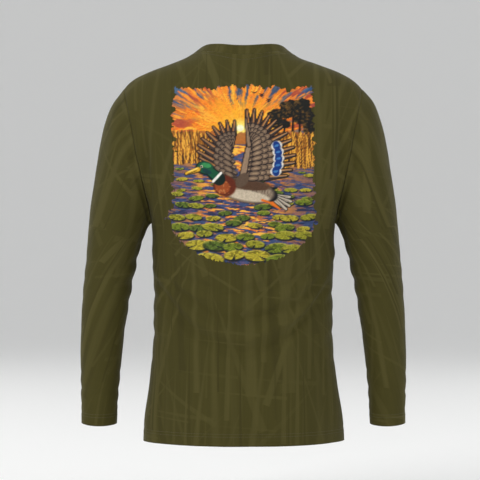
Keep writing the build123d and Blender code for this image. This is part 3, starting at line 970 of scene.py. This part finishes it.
def paint_water(art):
    """Rippled open water with the sun's track on it, between banks of golden marsh grass."""
    x, h = art.x, art.h
    water = 1 - ease(h, BANK - 2, BANK + 2)
    art.lay((62, 78, 116), water)
    ripple = mottle(91, x / 20 + 30, h / 3.0 + (x * 0.04))
    glow = 1 - ease(np.abs(x - SUN[0]), 25, 120)
    art.lay((230, 122, 40), water * ease(ripple, 0.42, 0.52) * (0.45 + 0.55 * glow))
    art.lay((255, 190, 72), water * ease(ripple, 0.54, 0.62) * glow)
    dark_ripple = ease(mottle(101, x / 15, h / 2.4), 0.54, 0.64)
    art.lay((38, 44, 78), water * dark_ripple * ease(-h, -520, -440) * 0.85)
    art.lay((128, 84, 118), water * ease(mottle(111, x / 12, h / 3.0), 0.62, 0.72) * 0.4)
    for middle, reach, low, high in ((-112, 60, 508, 566), (100, 66, 500, 562)):
        shore = ease(-np.abs(x - middle), -reach, -reach + 34)
        foot = low + 26 * (1 - shore) + 9 * mottle(131, x / 5 + 40, x * 0)
        crown = high - 16 * (1 - shore) + 12 * mottle(141, x / 1.8 + 70, x * 0)
        blade = mottle(121, x / 1.5 + 20 + h / 40, h / 22)
        bank = ease(h, foot - 2, foot + 2) * (1 - ease(h, crown - 2, crown + 2)) * ease(shore, 0.02, 0.1)
        art.lay((158, 98, 34), bank)
        art.lay((232, 166, 62), bank * ease(blade, 0.5, 0.6))
        art.lay((66, 42, 26), bank * ease(1 - blade, 0.50, 0.62) * (1 - ease(h, foot + 6, foot + 30)))
        art.lay((86, 56, 30), bank * ease(1 - blade, 0.58, 0.68))


def paint_pads(art):
    """Lily pads lying flat on the water, small far off and large close to."""
    chance = np.random.RandomState(7)
    greens = ((104, 118, 36), (138, 136, 40), (80, 98, 38), (164, 150, 46))
    for row_h, count in (
        (500, 6), (486, 7), (470, 8), (454, 9), (437, 9), (419, 9), (400, 8), (381, 7), (361, 6), (343, 4),
    ):
        near = (510 - row_h) / 165
        spread = 130 if row_h > 380 else 130 - (380 - row_h) * 1.35
        for k in range(count):
            pad_x = -spread + 2 * spread * (k + 0.5) / count + chance.uniform(-9, 9)
            pad_h = row_h + chance.uniform(-6, 6)
            wide = (8 + 13 * near) * chance.uniform(0.75, 1.2)
            tall = wide * (0.25 + 0.17 * near)
            lean = chance.uniform(-0.12, 0.12)
            shade = chance.randint(4)
            notch_at = chance.uniform(-2.6, -0.6)
            if abs(pad_x - SUN[0]) < 24 and row_h > 430:
                continue
            green = np.array(greens[shade])
            under = (pad_x + 1, pad_h - tall * 0.35, wide * 1.04, tall * 1.1, lean)
            art.spot((20, 28, 36), *under, strength=0.95)
            spoke = np.arctan2((art.h - pad_h) / tall, (art.x - pad_x) / wide)
            notch = 1 - ease(np.abs(spoke - notch_at), 0.1, 0.2)
            pad = art.blob(pad_x, pad_h, wide, tall, lean, soft=0.08) * (1 - notch)
            art.lay(green, pad)
            art.lay(green * 1.4, pad * ease(np.sin(spoke * 9), 0.4, 0.95) * 0.5)
            core = art.blob(pad_x, pad_h + tall * 0.12, wide * 0.8, tall * 0.72, lean, soft=0.3)
            art.lay((206, 186, 84), pad * (1 - core) * ease(art.h, pad_h - tall * 0.3, pad_h + tall) * 0.9)
            art.lay(green * 0.55, pad * ease(mottle(151 + k, art.x / 5, art.h / 3), 0.54, 0.66) * 0.65)


def paint_wing(art, arm, tips, wide, dark, mid, light):
    """A raised wing: flight feathers set side by side along the arm, and coverts over their roots."""
    last = len(tips) - 1
    roots = []
    for k in range(len(tips)):
        along = min(1, 1.6 * (1 - k / last))
        roots.append([arm[0][c] + (arm[1][c] - arm[0][c]) * along for c in (0, 1)])
    for (root_x, root_h), (tip_x, tip_h) in zip(roots, tips):
        neck_x, neck_h = root_x + (tip_x - root_x) * 0.55, root_h + (tip_h - root_h) * 0.55
        for tone, root_wide, full, tip_wide in (((16, 14, 18), 0.6, 1.08, 0.5), (dark, 0.5, 0.92, 0.3)):
            art.line(tone, root_x, root_h, neck_x, neck_h, wide * root_wide, wide * full)
            art.line(tone, neck_x, neck_h, tip_x, tip_h, wide * full, wide * tip_wide)
        art.line(mid, root_x + 1, root_h + 1.5, tip_x, tip_h + 1, wide * 0.42, wide * 0.14, strength=0.8)
        art.line(light, root_x, root_h, tip_x, tip_h, 0.8, 0.5, soft=0.5, strength=0.8)
        art.line((214, 128, 52), neck_x, neck_h + 1.8, tip_x, tip_h + 1.2, 1.0, 0.5, soft=0.6, strength=0.7)
    for share, tall in ((0.46, 0.62), (0.33, 0.56), (0.20, 0.5)):
        for (root_x, root_h), (tip_x, tip_h) in zip(roots, tips):
            x = root_x + (tip_x - root_x) * share
            h = root_h + (tip_h - root_h) * share
            way = math.atan2(tip_h - root_h, tip_x - root_x)
            art.spot((18, 16, 20), x, h, wide * 1.7, wide * (tall + 0.3), way, strength=0.9)
            art.spot(mid, x, h, wide * 1.5, wide * (tall + 0.12), way)
            art.spot(light, x, h, wide * 0.9, wide * 0.22, way, soft=0.4, strength=0.6)
    return roots


def paint_duck(art):
    """A green-headed drake flying to the left with both wings raised."""
    far_wing = [(-16, 590), (-30, 590), (-43, 586), (-55, 579), (-66, 569), (-75, 558), (-81, 546),
                (-82, 534), (-79, 523)]
    paint_wing(art, ((-12, 484), (-22, 536)), far_wing, 6.2, (66, 52, 46), (112, 92, 76), (158, 134, 108))
    for tip_x, tip_h in ((84, 452), (86, 444), (83, 436), (77, 430)):
        art.line((22, 20, 22), 48, 454, tip_x, tip_h, 5.5, 3.4)
        art.line((196, 184, 164), 48, 454, tip_x, tip_h, 4.2, 2.0)
        art.line((120, 104, 92), 52, 454, tip_x - 4, tip_h, 0.8, 0.6, soft=0.5)
    art.spot((20, 20, 24), 46, 455, 16, 12, -0.2)
    art.line((20, 30, 30), 48, 466, 60, 468, 3, 1.6)
    art.spot((36, 30, 28), 6, 464, 51, 23, -0.16)
    art.spot((150, 132, 112), 6, 463, 49, 21, -0.16)
    barring = mottle(171, art.x / 1.9 + 30, art.h / 6)
    art.lay((98, 82, 70), art.blob(8, 466, 46, 17, -0.16) * ease(barring, 0.50, 0.62) * 0.8)
    art.spot((214, 198, 172), 8, 454, 40, 9, -0.16, strength=0.8)
    art.spot((84, 60, 44), 6, 474, 42, 9, -0.14)
    art.spot((96, 40, 22), -34, 472, 21, 19, -0.5)
    art.spot((150, 72, 34), -38, 470, 14, 12, -0.5)
    speck = mottle(181, art.x / 2.4 + 30, art.h / 2.4)
    art.lay((190, 120, 70), art.blob(-37, 468, 15, 13, -0.5) * ease(speck, 0.60, 0.70) * 0.8)
    near_wing = [(6, 610), (20, 611), (34, 607), (47, 600), (59, 591), (70, 580), (79, 568), (86, 555),
                 (91, 542), (93, 528), (92, 514), (87, 501), (78, 490)]
    near_arm = ((2, 484), (14, 546))
    roots = paint_wing(art, near_arm, near_wing, 6.6, (58, 46, 42), (122, 100, 82), (186, 158, 122))
    for colour, long, tall in (((238, 232, 218), 10, 8.6), ((22, 56, 122), 7, 8.6), ((64, 118, 178), 4.4, 2)):
        for (root_x, root_h), (tip_x, tip_h) in list(zip(roots, near_wing))[7:12]:
            x, h = root_x + (tip_x - root_x) * 0.66, root_h + (tip_h - root_h) * 0.66
            way = math.atan2(tip_h - root_h, tip_x - root_x)
            art.spot(colour, x, h, long, tall, way)
    art.line((30, 24, 24), -2, 482, 10, 548, 7.5, 5.4)
    art.line((150, 124, 100), -2, 484, 10, 546, 5.6, 3.8)
    art.line((30, 24, 24), 10, 546, 4, 596, 5.0, 2.4)
    art.line((142, 116, 92), 10, 546, 4, 594, 3.2, 1.0)
    art.spot((92, 74, 60), -2, 482, 15, 10, 0.9)
    art.line((14, 34, 28), -44, 484, -64, 501, 11.5, 9.0)
    art.spot((12, 34, 28), -70, 504, 17, 12.5, -0.2)
    art.spot((22, 84, 56), -69, 505, 14.5, 10.5, -0.2)
    art.line((22, 84, 56), -50, 490, -62, 500, 7.5, 7.0)
    art.spot((64, 148, 84), -67, 509, 9, 4.2, -0.2, strength=0.85)
    art.spot((18, 52, 60), -66, 498, 9, 4, -0.4, strength=0.8)
    art.line((240, 236, 226), -54.5, 480, -40.5, 495, 2.4, 2.2)
    art.line((70, 54, 20), -82, 501, -104, 494, 5.2, 3.4)
    art.line((222, 168, 44), -82, 502, -103, 495, 4.0, 2.4)
    art.line((250, 216, 110), -84, 503.5, -99, 498, 1.2, 0.8, soft=0.5)
    art.line((44, 34, 20), -86, 499, -101, 493.6, 0.7, 0.5, soft=0.4)
    art.spot((240, 230, 200), -76, 506.5, 2.7, 2.5)
    art.spot((12, 10, 12), -76, 506.5, 2.0, 1.9)
    art.line((226, 110, 34), 34, 446, 52, 440, 2.2, 1.8)
    art.line((226, 110, 34), 52, 440, 66, 430, 3.4, 1.4)


def paint_all(across, over_hem):
    """The whole picture, and how thickly the ink covers the cloth at each place."""
    art = Painting(across, over_hem)
    for layer in (paint_sky, paint_shore, paint_water, paint_pads, paint_duck):
        layer(art)
    top_edge = 652 + 12 * (mottle(201, across / 5 + 40, over_hem * 0) - 0.5)
    top_edge += 16 * (mottle(211, across / 28, over_hem * 0) - 0.5)
    side_edge = 128 + 13 * (mottle(221, over_hem / 5 + 40, across * 0) - 0.5)
    reach = 138 + 16 * (mottle(231, across / 9 + 50, over_hem / 9) - 0.5)
    rounded = np.hypot(across / reach, np.clip(428 - over_hem, 0, None) / 98)
    sides = np.minimum(top_edge - over_hem, side_edge - np.abs(across))
    inside = np.where(over_hem > 428, np.minimum(sides, (1 - rounded) * 95 + 6), (1 - rounded) * 95)
    dry = mottle(241, across / 2.4 + 40, over_hem / 14)
    cover = ease(inside + 10 * (dry - 0.5), -1.5, 2.5)
    art.ink *= (0.9 + 0.2 * mottle(251, across / 2.2, over_hem / 2.2))[:, None]
    return np.clip(art.ink, 0, 1), cover


film = body_cloth(-33, -147, 322, 668, lift=0.33, cell=1.16)
ink_layer = film.mesh.verts.layers.float_color.new("ink")
places = np.array([flat_place(v[film.turn], v[film.high]) for v in film.mesh.verts])
across, over_hem = places[:, 0], places[:, 2]
ink, cover = paint_all(across, over_hem)
inked = 0.97 * ink**2.2
order = {v: k for k, v in enumerate(film.mesh.verts)}
bare = [f for f in film.mesh.faces if np.mean([cover[order[v]] for v in f.verts]) < 0.5]
for v, k in order.items():
    v[ink_layer] = (*inked[k], 1)
printed = film.lay()
bmesh.ops.delete(printed, geom=bare, context="FACES")

soft_ink, ink_tree, ink_shader = new_finish("soft_ink", {"Roughness": 0.7, "Specular IOR Level": 0.25})
ink_colour = node(ink_tree, "ShaderNodeAttribute", attribute_name="ink")
ink_rest = node(ink_tree, "ShaderNodeAttribute", attribute_name="rest")
speckle = node(ink_tree, "ShaderNodeTexNoise", {"Scale": 700, "Detail": 2})
speckle_band = node(ink_tree, "ShaderNodeMapRange", {"To Min": 0.9, "To Max": 1.1})
ink_tone = node(ink_tree, "ShaderNodeVectorMath", operation="SCALE")
ink_loops = node(ink_tree, "ShaderNodeGroup", node_tree=knit)
ink_bump = node(ink_tree, "ShaderNodeBump", {"Strength": 0.2, "Distance": 0.0002})
wire(
    ink_tree, (ink_rest, "Vector", speckle, "Vector"), (speckle, "Fac", speckle_band, "Value"),
    (ink_colour, "Color", ink_tone, "Vector"), (speckle_band, "Result", ink_tone, "Scale"),
    (ink_tone, "Vector", ink_shader, "Base Color"), (ink_rest, "Vector", ink_loops, "Vector"),
    (ink_loops, "Height", ink_bump, "Height"), (ink_bump, "Normal", ink_shader, "Normal"),
)
stands_for(make_piece("back_print_film", printed, soft_ink), "back_print")
